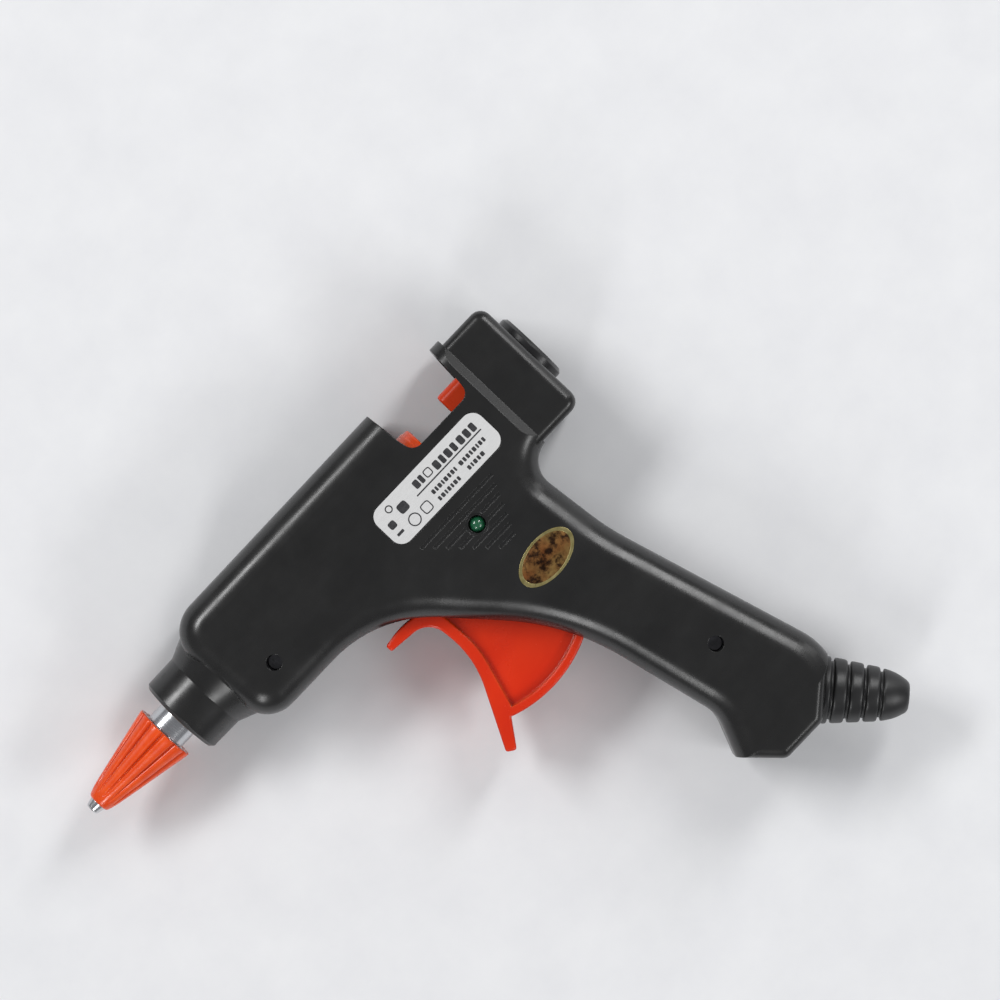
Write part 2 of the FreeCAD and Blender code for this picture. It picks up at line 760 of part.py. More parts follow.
def make_chamber():
    """Aluminium chamber: neck, holding flange, stick tube and a slotted heater block."""
    rear = D["chamber_rear"]
    flange = D["flange_station"]
    outer = turned("chamber_outer", [
        (D["cap_rear"] + 0.1, 0),
        (D["cap_rear"] + 0.1, D["neck_radius"]),
        (flange, D["neck_radius"]),
        (flange, D["flange_radius"]),
        (flange + 2, D["flange_radius"]),
        (flange + 2, D["chamber_radius"]),
        (D["sleeve_front"], D["chamber_radius"]),
        (D["sleeve_front"], D["chamber_radius"] - 0.7),
        (rear, D["chamber_radius"] - 0.7),
        (rear, 0),
    ])
    channel = turned("chamber_channel", [
        (20, 0),
        (20, 3.4),
        (35.2, 3.4),
        (35.2, D["melt_radius"]),
        (62, D["melt_radius"]),
        (66, D["stick_bore"]),
        (rear + 5, D["stick_bore"]),
        (rear + 5, 0),
    ])
    low = (D["heater_front"], 3.9, -6.5)
    high = (D["heater_rear"], D["heater_roof"] + 1.0, 6.5)
    block = box("heater_block", low, high)
    slot = box("heater_slot", (60, D["heater_floor"], -5.2), (100, D["heater_roof"], 5.2))
    blank = fuse("chamber_blank", [outer, block])
    node("heating_chamber", cut("chamber", blank, [channel, slot]))


def make_heater():
    """Two ceramic tablets between contact plates, wrapped in film and pressed by a bowed strip."""
    film = D["film_thickness"]
    plate = D["electrode_thickness"]
    front, rear = 65.0, 93.5
    base = D["heater_floor"] + film
    tablet_low = base + plate
    tablet_high = tablet_low + D["tablet_thickness"]
    top = tablet_high + plate
    tablets = [box("tablet_%d" % i, (start, tablet_low, -4.2), (start + 10.5, tablet_high, 4.2))
               for i, start in enumerate((67.5, 79.0), start=1)]
    node("heating_tablets", group("tablets", tablets))
    for label, low, tab_side in (("lower_electrode", base, -1), ("upper_electrode", tablet_high, 1)):
        strip = box(label + "_strip", (66.5, low, -4.4), (91.0, low + plate, 4.4))
        across = tab_side * 2.4
        tab = box(label + "_tab", (90.5, low, across - 1.3), (97.5, low + plate, across + 1.3))
        node(label, fuse(label + "_blank", [strip, tab]))
    wrap = box("film_wrap", (front, D["heater_floor"], -4.9), (rear, top + film, 4.9))
    hollow = box("film_hollow", (front - 1, base, -4.75), (rear + 1, top, 4.75))
    node("insulating_film", cut("film", wrap, [hollow]))
    bow_heater_strip(top + film)


def bow_heater_strip(seat):
    """A bowed spring strip that fills the gap between the film and the slot's roof."""
    thickness, middle, half = 0.3, 79.0, 11.0
    low = float(seat)
    rise = float(D["heater_roof"]) - low - thickness
    under = [V(middle - half, low, 0), V(middle, low + rise, 0), V(middle + half, low, 0)]
    over = [point + V(0, thickness, 0) for point in under]
    edges = [Part.Arc(*under), Part.LineSegment(under[2], over[2]),
             Part.Arc(*reversed(over)), Part.LineSegment(over[0], under[0])]
    face = Part.Face(Part.Wire([edge.toShape() for edge in edges]))
    face.translate(V(0, 0, -4.0))
    node("heater_spring", shaped("heater_spring_strip", face.extrude(V(0, 0, 8.0))))


def make_nozzle():
    tip = D["nozzle_tip"]
    rear = D["cap_rear"]
    node("nozzle", turned("nozzle_body", [
        (tip, 0.75),
        (tip, 1.35),
        (tip + 0.3, 1.6),
        (1.3, 2.05),
        (3.5, 2.5),
        (16.5, 5.0),
        (rear - 0.2, 5.6),
        (rear - 0.2, 3.4),
        (rear + 10.5, 3.4),
        (rear + 10.5, D["melt_radius"]),
        (5.0, D["melt_radius"]),
        (2.5, 0.75),
    ]))
    front = D["cap_front"]
    gap = 0.1
    node("nozzle_cap", turned("cap_body", [
        (front, 2.1 + gap),
        (front, 2.45),
        (front + 0.6, 2.95),
        (6.0, 4.05),
        (10.0, 4.85),
        (14.0, 5.65),
        (22.0, 7.35),
        (rear, D["cap_rear_radius"]),
        (rear, 5.65 + gap),
        (16.4, 5.02 + gap),
        (3.5, 2.5 + gap),
    ]))


def make_neck_bush():
    """Heat-resistant bush between the chamber's neck and the casing's front wall."""
    bore = D["neck_radius"] + 0.05
    node("neck_bush", turned("bush_body", [
        (28.9, bore),
        (28.9, 7.2),
        (32.1, 7.2),
        (32.1, 8.3),
        (33.3, 8.3),
        (33.3, bore),
    ]))


def make_inlet_sleeve():
    """Silicone sleeve that is pushed over the chamber's rear end and guides the stick."""
    seat = D["chamber_radius"] - 0.7
    step = D["chamber_rear"] + 0.3
    node("inlet_sleeve", turned("sleeve_body", [
        (D["sleeve_front"] + 0.2, seat),
        (D["sleeve_front"] + 0.2, D["sleeve_radius"] - 0.4),
        (D["sleeve_front"] + 0.6, D["sleeve_radius"]),
        (D["sleeve_rear"] - 0.8, D["sleeve_radius"]),
        (D["sleeve_rear"], D["sleeve_radius"] - 0.8),
        (D["sleeve_rear"], 4.6),
        (D["sleeve_rear"] - 1.2, 3.85),
        (step, 3.85),
        (step, seat),
    ]))
    ring = doc.addObject("Part::Torus", "sleeve_ring")
    bind(ring, "Radius1", D["sleeve_radius"] + 0.4)
    ring.Radius2 = 0.4
    move(ring, 102.8, 0, 0, TURN["x"])
    node("sleeve_clamp", ring)


def make_stick_inlet():
    """Rear guide: a flanged tube held between a rib and the casing's rear wall."""
    tube, bore = D["inlet_tube"], D["inlet_bore"]
    node("stick_inlet_guide", turned("inlet_body", [
        (139.4, bore + 0.9),
        (139.4, tube),
        (143.2, tube),
        (143.2, 7.1),
        (145.3, 7.1),
        (145.3, tube),
        (D["block_rear"], tube),
        (D["block_rear"], D["inlet_rim"]),
        (D["inlet_rear"] - 0.8, D["inlet_rim"]),
        (D["inlet_rear"], D["inlet_rim"] - 0.8),
        (D["inlet_rear"], bore + 1.5),
        (D["inlet_rear"] - 1.5, bore),
        (140.6, bore),
    ]))


# ---------------------------------------------------------------- trigger and feed

def swept_corner(radius, from_angle, to_angle):
    """A corner that, rounded by the radius, follows a circle about the trigger's pivot."""
    middle = math.radians((from_angle + to_angle) / 2)
    half = math.radians(abs(to_angle - from_angle) / 2)
    reach = float(radius) / math.cos(half)
    x = float(D["pivot_station"]) + reach * math.cos(middle)
    y = float(D["pivot_height"]) + reach * math.sin(middle)
    return (x, y, float(radius))


def on_sweep(radius, angle):
    turn = math.radians(angle)
    x = float(D["pivot_station"]) + float(radius) * math.cos(turn)
    y = float(D["pivot_height"]) + float(radius) * math.sin(turn)
    return (x, y, 0)


def trigger_corners():
    """The trigger from the left: hooked top, curved finger face, spur and swept lower edge."""
    radius = D["sweep_radius"]
    return [
        (74.8, -23.7, 0.6),
        (80.0, -22.9, 20.0),
        (86.0, -23.9, 4.0),
        (95.0, -22.8, 3.0),
        (99.4, -26.0, 3.0),
        on_sweep(radius, -60),
        swept_corner(radius, -60, -110),
        on_sweep(radius, -110),
        (83.05, -56.2, 0.3),
        (78.3, -62.5, 0.7),
        (76.2, -61.0, 0.7),
        (87.3, -40.2, 25.0),
        (86.0, -26.7, 5.5),
        (74.8, -25.5, 0.6),
    ]


def panel_corners():
    """The recessed side of the trigger, behind its finger rim and above its lower rim."""
    radius = D["sweep_radius"] - 2.1
    return [
        (88.4, -15.0, 0),
        (120.0, -15.0, 0),
        (120.0, -45.0, 0),
        on_sweep(radius, -58),
        swept_corner(radius, -58, -109.5),
        on_sweep(radius, -109.5),
        (89.6, -39.2, 25.0),
    ]


def make_trigger():
    half, web = D["trigger_half"], D["panel_half"]
    outline_form = slab("trigger_outline_form", trigger_corners(), half * -1, half)
    blank = softened("trigger_blank", outline_form, 0.5, lambda edge: edge.BoundBox.ZLength < 0.01)
    left_recess = slab("trigger_left_recess", panel_corners(), web, half + 1)
    right_recess = slab("trigger_right_recess", panel_corners(), half * -1 - 1, web * -1)
    formed = cut("trigger_formed", blank, [left_recess, right_recess])
    hub = rod("trigger_hub", (*PIVOT, half * -1), half * 2, 3.2)
    thickness = D["arm_half"]
    slot_half = D["drive_pin_radius"] + 0.15
    arm_bar = box("trigger_arm_bar", (0, -3.2, thickness * -1), (16.2, 3.2, thickness))
    fork_low = (11.9, slot_half * -1, thickness * -1 - 1)
    fork_gap = box("trigger_fork_gap", fork_low, (20, slot_half, thickness + 1))
    arm = cut("trigger_arm", arm_bar, [fork_gap])
    move(arm, *PIVOT, 0, FreeCAD.Rotation(V(0, 0, 1), 90 - float(D["rest_lean"])))
    bore = rod("trigger_bore", (*PIVOT, -10), 20, D["pin_radius"] + D["running_gap"])
    node("trigger", cut("trigger_body", fuse("trigger_joined", [formed, hub, arm]), [bore]))
    node("trigger_pivot_pin", rod("pivot_pin", (*PIVOT, -11.4), 22.8, D["pin_radius"]))


def drive_pin_station():
    """Where the drive pin stands at rest, on the arm's line."""
    arm = float(D["pin_height"]) - float(D["pivot_height"])
    return D["pivot_station"] + arm * math.tan(math.radians(float(D["rest_lean"])))


def make_carriage():
    """Orange feed carriage: stick block, guide ears and two bars that reach the trigger's arm."""
    front, half = D["carriage_front"], D["carriage_half"]
    rear = front + D["carriage_length"]
    block_form = slab("carriage_block_form", [
        (-8.0, half, 1.2),
        (D["carriage_top"], half, 2.2),
        (D["carriage_top"], half * -1, 2.2),
        (-8.0, half * -1, 1.2),
    ], front, rear, "x")
    block = softened("carriage_block", block_form, 0.6, lambda edge: edge.BoundBox.XLength < 0.01)
    outer, low, high = D["bar_half"], D["bar_low"], D["bar_top"]
    inner = outer - 2.0
    web_rear = front + 5
    parts = [
        block,
        box("carriage_web", (front, low, outer * -1), (web_rear, -7.5, outer)),
        box("carriage_cross", (D["bar_front"], low, outer * -1), (D["bar_front"] + 2, high, outer)),
        box("carriage_left_bar", (D["bar_front"], low, inner), (web_rear, high, outer)),
        box("carriage_right_bar", (D["bar_front"], low, outer * -1), (web_rear, high, inner * -1)),
        box("carriage_ears", (front + 2, -4.8, -9.5), (rear - 2, -2.2, 9.5)),
    ]
    pin_at = (drive_pin_station(), D["pin_height"])
    tools = [
        rod("carriage_stick_hole", (110, 0, 0), 40, 3.95, "x"),
        rod("carriage_pin_hole", (*pin_at, -8), 16, D["drive_pin_radius"]),
        box("tooth_slot", (front + 5.6, -9, -3), (front + 6.4, 0, 3)),
    ]
    node("feed_carriage", cut("carriage", fuse("carriage_blank", parts), tools))
    pin = rod("drive_pin_rod", (*pin_at, outer * -1), outer * 2, D["drive_pin_radius"])
    node("drive_pin", pin)
    tooth = box("tooth_plate", (front + 5.6, -8.0, -3), (front + 6.4, -3.45, 3))
    node("gripper_tooth", tooth)


def make_return_spring():
    """Compression spring between a seat in the casing and the carriage's cross bar."""
    wire, radius = float(D["spring_wire"]), float(D["spring_radius"])
    start = float(D["spring_front"]) + wire + 0.05
    end = float(D["bar_front"]) - wire - 0.05
    pitch = 2.2
    helix = Part.makeHelix(pitch, end - start, radius)
    circle = Part.Wire(Part.makeCircle(wire, V(radius, 0, 0), V(0, 1, 0)))
    coil = Part.Wire(helix).makePipeShell([circle], True, True)
    middle = (float(D["bar_top"]) + float(D["bar_low"])) / 2
    coil.Placement = FreeCAD.Placement(V(start, middle, 0), TURN["x"])
    node("return_spring", shaped("return_coil", coil))


# ---------------------------------------------------------------- electrics

def make_lamp():
    at = (D["lamp_station"], D["lamp_height"])
    radius = D["lamp_radius"]
    body = rod("lamp_body", (*at, 9.3), 2.6, radius)
    flange = rod("lamp_flange", (*at, 8.55), 0.8, radius + 0.4)
    dome = doc.addObject("Part::Sphere", "lamp_dome")
    bind(dome, "Radius", radius)
    move(dome, *at, 11.9)
    node("pilot_lamp", fuse("lamp", [body, flange, dome]))
    low = (at[0] - 6, at[1] - 4, 7.4)
    board = box("board_blank", low, (at[0] + 6, at[1] + 5.6, 8.55))
    node("lamp_board", board)
    resistor = rod("resistor_body", (at[0] - 3, at[1] + 4.5, 9.35), 6, 0.8, "x")
    node("lamp_resistor", resistor)


GRIP_RUN = [(123.3, -82.3), (121.6, -76.5), (120.4, -69.5)]


def make_leads():
    """Leads held along the right shell to the heater, and along the left one to the lamp."""
    radius = D["lead_radius"]
    routes = {
        "live_lead": (-2.6, -9.0, [(119.8, -57.0), (116.2, -39.5), (108.0, -23.5), (98.6, -8.5)],
                      [(98.6, 2.0, -9.0), (98.6, 9.76, -5.0), (98.6, 9.76, 2.4), (93.8, 9.76, 2.4)]),
        "neutral_lead": (-5.6, -10.9, [(118.0, -56.0), (114.0, -38.5), (105.4, -21.5), (96.0, -7.0)],
                         [(96.0, 2.0, -10.9), (96.6, 7.76, -7.0), (96.6, 7.76, -2.4),
                          (93.8, 7.76, -2.4)]),
    }
    for label, (crimp_depth, wall_depth, way, ending) in routes.items():
        path = [(*GRIP_RUN[0], crimp_depth), (*GRIP_RUN[1], crimp_depth), (*GRIP_RUN[2], wall_depth)]
        path += [(x, y, wall_depth) for x, y in way]
        node(label, shaped(label + "_tube", tube_along(path + ending, radius)))


def make_crimps():
    """Two closed-end crimp caps that join the cord's cores to the inner leads."""
    axis = V(*GRIP_RUN[0]) - V(*GRIP_RUN[1])
    caps = []
    for depth in (-2.6, -5.6):
        start = V(*GRIP_RUN[0], depth)
        caps.append(Part.makeCylinder(1.4, 8.0, start, axis))
    node("crimp_caps", shaped("crimp_cap_pair", Part.makeCompound(caps)))


# ---------------------------------------------------------------- outside trim

def boot_profile():
    """A captive flange and neck inside the grip, a collar, broad rings and a round nose."""
    bore, end = D["cable_bore"], D["boot_length"]
    collar, ring_pitch, groove = 1.6, 3.9, 0.8
    profile = [(-7.5, bore), (-7.5, 3.8), (-4.2, 3.8), (-4.2, 5.4), (-2.3, 5.4), (-2.3, 4.4),
               (0.1, 4.4), (0.1, 8.0), (collar, 8.0)]
    for i in range(3):
        start = collar + i * ring_pitch
        rim = 7.8 - 0.5 * i
        profile += [(start, rim - 0.9), (start + groove, rim - 0.9), (start + groove, rim),
                    (start + ring_pitch, rim - 0.35)]
    nose = collar + 3 * ring_pitch
    profile += [(nose, 5.4), (nose + groove, 5.4), (nose + groove, 6.3), (16.4, 5.85), (18.0, 5.2),
                (19.4, 4.3), (end, 3.3), (end, bore)]
    return profile


def make_boot():
    node("strain_relief", in_boot_frame(turned("boot_body", boot_profile())))


def make_plate_and_seal():
    low = D["half_width"] - 0.3
    node("rating_plate", slab("plate", plate_corners(0), low, low + 0.4))
    ellipse = Part.Ellipse(V(0, 0, 0), float(D["seal_length"]) / 2, float(D["seal_width"]) / 2)
    sketch = outline("seal_outline", [ellipse])
    tilt = FreeCAD.Rotation(V(0, 0, 1), 4.0)
    move(sketch, D["seal_station"], D["seal_height"], D["half_width"], tilt)
    seal = doc.addObject("Part::Extrusion", "seal")
    seal.Base = sketch
    seal.DirMode = "Normal"
    seal.Solid = True
    seal.LengthFwd = 0.12
    node("oval_seal", seal)


# ---------------------------------------------------------------- build and export

def check_document():
    for obj in doc.Objects:
        if "Invalid" in obj.State or "Error" in obj.State:
            raise RuntimeError("%s (%s) failed: %s" % (obj.Name, obj.Label, obj.State))


def main():
    make_shells()
    make_casing_screws()
    make_cord_clamp()
    make_chamber()
    make_heater()
    make_nozzle()
    make_neck_bush()
    make_inlet_sleeve()
    make_stick_inlet()
    make_trigger()
    make_carriage()
    make_return_spring()
    make_lamp()
    make_leads()
    make_crimps()
    make_boot()
    make_plate_and_seal()
    doc.recompute()
    check_document()
    os.makedirs("parts", exist_ok=True)
    for label, obj in pieces.items():
        shape = obj.Shape
        if shape.isNull() or not shape.isValid():
            raise RuntimeError("%s has no valid shape" % label)
        shape.exportStep(os.path.join("parts", label + ".step"))
        print("%-20s solids %d volume %9.2f" % (label, len(shape.Solids), shape.Volume))


main()
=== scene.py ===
"""Looks of the glue gun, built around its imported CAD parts, in metres in the row frame."""

import json
import math

import bmesh
import bpy
from mathutils import Matrix, Vector


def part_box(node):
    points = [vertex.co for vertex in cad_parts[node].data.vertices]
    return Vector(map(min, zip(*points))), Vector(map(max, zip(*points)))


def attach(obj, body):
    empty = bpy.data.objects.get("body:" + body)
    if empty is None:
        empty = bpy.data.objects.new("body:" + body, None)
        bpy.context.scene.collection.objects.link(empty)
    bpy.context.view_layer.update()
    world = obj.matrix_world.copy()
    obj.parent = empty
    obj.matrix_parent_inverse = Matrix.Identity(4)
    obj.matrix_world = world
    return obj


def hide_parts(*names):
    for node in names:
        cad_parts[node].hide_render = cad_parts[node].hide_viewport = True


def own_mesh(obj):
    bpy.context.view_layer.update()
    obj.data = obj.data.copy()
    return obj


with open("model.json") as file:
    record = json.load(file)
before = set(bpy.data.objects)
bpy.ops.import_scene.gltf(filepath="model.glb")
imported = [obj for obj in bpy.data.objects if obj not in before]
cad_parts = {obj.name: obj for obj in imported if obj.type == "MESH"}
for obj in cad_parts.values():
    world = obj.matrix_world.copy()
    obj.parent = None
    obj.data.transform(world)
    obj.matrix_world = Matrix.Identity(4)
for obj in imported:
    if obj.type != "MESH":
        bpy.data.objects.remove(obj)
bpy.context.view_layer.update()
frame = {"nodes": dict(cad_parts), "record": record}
nodes = frame["nodes"]

MM = 0.001
AXIS_HEIGHT = 0.0145  # of the barrel, over the floor


def mid(node):
    """The middle of a CAD part's box."""
    low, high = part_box(node)
    return (low + high) / 2


# ---------------------------------------------------------------- materials


EDGE_SOFTNESS = 0.25 * MM
GROOVE_REACH = 2.5 * MM
PROBES = 6  # rays that a bevel or an occlusion node casts
EDGE_SPAN = (0.8, 0.99)  # agreement of softened and true normals: a sharp edge, an open face
OPEN_SPAN = (0.25, 0.85)  # occlusion values: a groove's bottom, an open face


class Nodes:
    """A material's node tree, with short calls to add and join nodes."""

    def __init__(self, name):
        self.material = bpy.data.materials.new(name)
        self.material.use_nodes = True
        self.tree = self.material.node_tree
        self.shader = self.tree.nodes["Principled BSDF"]
        self.place = self.add("ShaderNodeTexCoord").outputs["Object"]

    def feed(self, value, socket):
        """Links another node's output to a socket, or sets the socket's own number or colour."""
        if isinstance(value, bpy.types.NodeSocket):
            self.tree.links.new(value, socket)
        elif isinstance(value, tuple) and len(value) == 3 and len(socket.default_value) == 4:
            socket.default_value = (*value, 1)
        else:
            socket.default_value = value

    def add(self, kind, inputs=None, **settings):
        made = self.tree.nodes.new(kind)
        for key, value in settings.items():
            setattr(made, key, value)
        for key, value in (inputs or {}).items():
            self.feed(value, made.inputs[key])
        return made

    def noise(self, scale, detail, roughness, stretch=None):
        place = self.place
        if stretch is not None:
            mapping = self.add("ShaderNodeMapping", {"Scale": stretch, "Vector": place})
            place = mapping.outputs["Vector"]
        made = self.add("ShaderNodeTexNoise", {
            "Scale": scale, "Detail": detail, "Roughness": roughness, "Vector": place,
        })
        return made.outputs["Fac"]

    def ramp(self, value, low, high, at=(0.3, 0.7)):
        """Turns a 0 to 1 value into a number or a colour between low and high."""
        if isinstance(low, (int, float)):
            made = self.add("ShaderNodeMapRange", {
                "Value": value, "From Min": at[0], "From Max": at[1], "To Min": low, "To Max": high,
            })
            return made.outputs["Result"]
        made = self.add("ShaderNodeValToRGB", {"Fac": value})
        for stop, position, colour in zip(made.color_ramp.elements, at, (low, high)):
            stop.position = position
            stop.color = (*colour, 1)
        return made.outputs["Color"]

    def bump(self, height, strength, distance, under=None):
        inputs = {"Height": height, "Strength": strength, "Distance": distance}
        if under is not None:
            inputs["Normal"] = under
        return self.add("ShaderNodeBump", inputs).outputs["Normal"]

    def rounded_edges(self, reach):
        """A normal that turns smoothly over edges, and a 0 to 1 value, high only on edges."""
        rounded = self.add("ShaderNodeBevel", {"Radius": reach}, samples=PROBES).outputs["Normal"]
        flat = self.add("ShaderNodeNewGeometry").outputs["Normal"]
        agreement = self.add("ShaderNodeVectorMath", {0: rounded, 1: flat}, operation="DOT_PRODUCT")
        return rounded, self.ramp(agreement.outputs["Value"], 1.0, 0.0, EDGE_SPAN)

    def openness(self, reach):
        """A value that is low in an object's own grooves and inner corners, and 1 on open faces."""
        made = self.add("ShaderNodeAmbientOcclusion", {"Distance": reach}, samples=PROBES,
                        only_local=True)
        return self.ramp(made.outputs["AO"], 0.0, 1.0, OPEN_SPAN)

    def mix(self, share, under, over, blend="MIX"):
        made = self.add("ShaderNodeMix", {"Factor": share, "A": under, "B": over},
                        data_type="RGBA", blend_type=blend)
        return made.outputs["Result"]

    def times(self, first, second):
        made = self.add("ShaderNodeMath", {0: first, 1: second}, operation="MULTIPLY")
        return made.outputs["Value"]

    def shade(self, **inputs):
        """The finished material. Names are the shader's own sockets, with _ for a space."""
        for key, value in inputs.items():
            self.feed(value, self.shader.inputs[key.replace("_", " ")])
        return self.material


def moulded(name, low, high, rough=(0.36, 0.5), grain=0.06, gloss=0.5, scatter=0.0, edge=None,
            groove=None, soft=EDGE_SOFTNESS):
    """Moulded plastic: eroded grain, faint flow marks, and where given, a groove colour laid by
    occlusion (painted shade on the orange parts, a lighter tone on the casing) and a painted
    highlight along edges.
    """
    n = Nodes(name)
    rounded, on_edge = n.rounded_edges(soft)
    grained = n.bump(n.noise(5200, 2, 0.6), grain, 0.12 * MM, rounded)
    grained = n.bump(n.noise(1500, 2, 0.5), grain * 0.6, 0.2 * MM, grained)
    colour = n.ramp(n.noise(45, 3, 0.55, (1.0, 2.2, 1.0)), low, high)
    # The occlusion mask lays the groove colour into grooves and inner corners: painted shade where
    # that colour is darker.
    if groove is not None:
        colour = n.mix(n.openness(GROOVE_REACH), groove, colour)
    # Painted highlight: edges found by the bevel normal take a lighter colour in noisy patches.
    if edge is not None:
        edge_highlight_share = n.times(on_edge, n.ramp(n.noise(500, 3, 0.6), 0.25, 0.65))
        colour = n.mix(edge_highlight_share, colour, edge)
    return n.shade(
        Base_Color=colour,
        Roughness=n.ramp(n.noise(160, 4, 0.6), *rough),
        Normal=n.bump(n.noise(90, 1, 0.4), 0.08, 0.6 * MM, grained),
        IOR=1.5,
        Specular_IOR_Level=gloss,
        Subsurface_Weight=scatter,
        Subsurface_Radius=(0.004, 0.0015, 0.0006),
        Subsurface_Scale=0.4,
    )


def silicone(name, low, high, groove):
    """Heat-proof silicone: glossy skin, slightly see-through, with painted shade darkening it
    between its ribs.
    """
    n = Nodes(name)
    cloud = n.ramp(n.noise(220, 3, 0.6), low, high)
    return n.shade(
        # Painted shade: the occlusion mask lays the darker groove colour between the ribs.
        Base_Color=n.mix(n.openness(GROOVE_REACH), groove, cloud),
        Roughness=n.ramp(n.noise(500, 3, 0.6), 0.2, 0.32),
        Normal=n.bump(n.noise(4200, 3, 0.6), 0.06, 0.15 * MM),
        IOR=1.42,
        Specular_IOR_Level=0.4,
        Coat_Weight=0.35,
        Coat_Roughness=0.16,
        Subsurface_Weight=0.15,
        Subsurface_Radius=(0.006, 0.002, 0.0007),
        Subsurface_Scale=0.5,
    )


def metal(name, colour, rough=(0.2, 0.38), stretch=(60.0, 1.0, 1.0)):
    """Bare metal, faintly stained, with turning or rolling marks across the stretched axis."""
    n = Nodes(name)
    marks = n.noise(400, 4, 0.65, stretch)
    stained = tuple(channel * 0.82 for channel in colour)
    return n.shade(
        Base_Color=n.ramp(n.noise(260, 3, 0.6), stained, colour),
        Metallic=1.0,
        Roughness=n.ramp(marks, *rough),
        Normal=n.bump(marks, 0.06, 0.2 * MM),
    )


def plate_stock(name):
    """Satin silver label stock with a faint rolled grain."""
    n = Nodes(name)
    grain = n.noise(700, 3, 0.6, (1.0, 25.0, 1.0))
    return n.shade(
        Base_Color=n.ramp(grain, (0.68, 0.68, 0.675), (0.76, 0.76, 0.755)),
        Metallic=0.25,
        Roughness=n.ramp(grain, 0.3, 0.42),
        Normal=n.bump(grain, 0.05, 0.1 * MM),
    )


def ink(name):
    """Printing ink, a little worn."""
    n = Nodes(name)
    worn = n.noise(1800, 3, 0.6)
    return n.shade(
        Base_Color=n.ramp(worn, (0.015, 0.015, 0.017), (0.035, 0.035, 0.038)),
        Roughness=n.ramp(worn, 0.4, 0.6),
    )


def mottled_foil(name):
    """Embossed foil with dark patches on a field that goes from copper to gold, and painted shade
    in the emboss's pits.
    """
    n = Nodes(name)
    cells = n.add("ShaderNodeTexVoronoi", {"Scale": 900, "Vector": n.place}, feature="F1")
    relief = cells.outputs["Distance"]
    patches = n.ramp(n.noise(330, 5, 0.7), 0.0, 1.0, (0.42, 0.56))
    field = n.ramp(n.noise(150, 2, 0.5), (0.3, 0.1, 0.03), (0.3, 0.2, 0.07))
    mottled = n.mix(patches, (0.03, 0.012, 0.005), field)
    # Painted shade: the colour darkens where the emboss relief is lowest.
    emboss_pit_shade = n.ramp(relief, (0.6, 0.45, 0.35), (1.0, 0.95, 0.8))
    return n.shade(
        Base_Color=n.mix(0.5, mottled, emboss_pit_shade, "MULTIPLY"),
        Metallic=0.75,
        Roughness=n.ramp(n.noise(600, 3, 0.6), 0.22, 0.42),
        Normal=n.bump(relief, 0.12, 0.1 * MM),
    )


def dull_foil(name):
    """Plain foil of the sticker's rim."""
    n = Nodes(name)
    return n.shade(
        Base_Color=n.ramp(n.noise(800, 3, 0.6), (0.26, 0.22, 0.08), (0.4, 0.34, 0.15)),
        Metallic=0.7,
        Roughness=n.ramp(n.noise(500, 2, 0.5), 0.25, 0.4),
    )


def lamp_resin(name):
    """Tinted green resin of a diffused lamp."""
    n = Nodes(name)
    haze = n.noise(700, 3, 0.6)
    return n.shade(
        Base_Color=n.ramp(haze, (0.012, 0.1, 0.045), (0.02, 0.15, 0.07)),
        Roughness=n.ramp(haze, 0.16, 0.26),
        Transmission_Weight=0.15,
        IOR=1.52,
        Subsurface_Weight=0.3,
        Subsurface_Radius=(0.0005, 0.003, 0.001),
        Subsurface_Scale=0.5,
        Coat_Weight=0.4,
        Coat_Roughness=0.1,
    )


def floor_paper(name):
    """Matt pale paper, very slightly clouded."""
    n = Nodes(name)
    return n.shade(
        Base_Color=n.ramp(n.noise(60, 4, 0.6), (0.74, 0.745, 0.76), (0.78, 0.785, 0.795)),
        Roughness=0.85,
        Specular_IOR_Level=0.2,
    )


# Lighter black for the painted highlight along the edges of black parts.
EDGE_HIGHLIGHT_BLACK = (0.024, 0.024, 0.024)

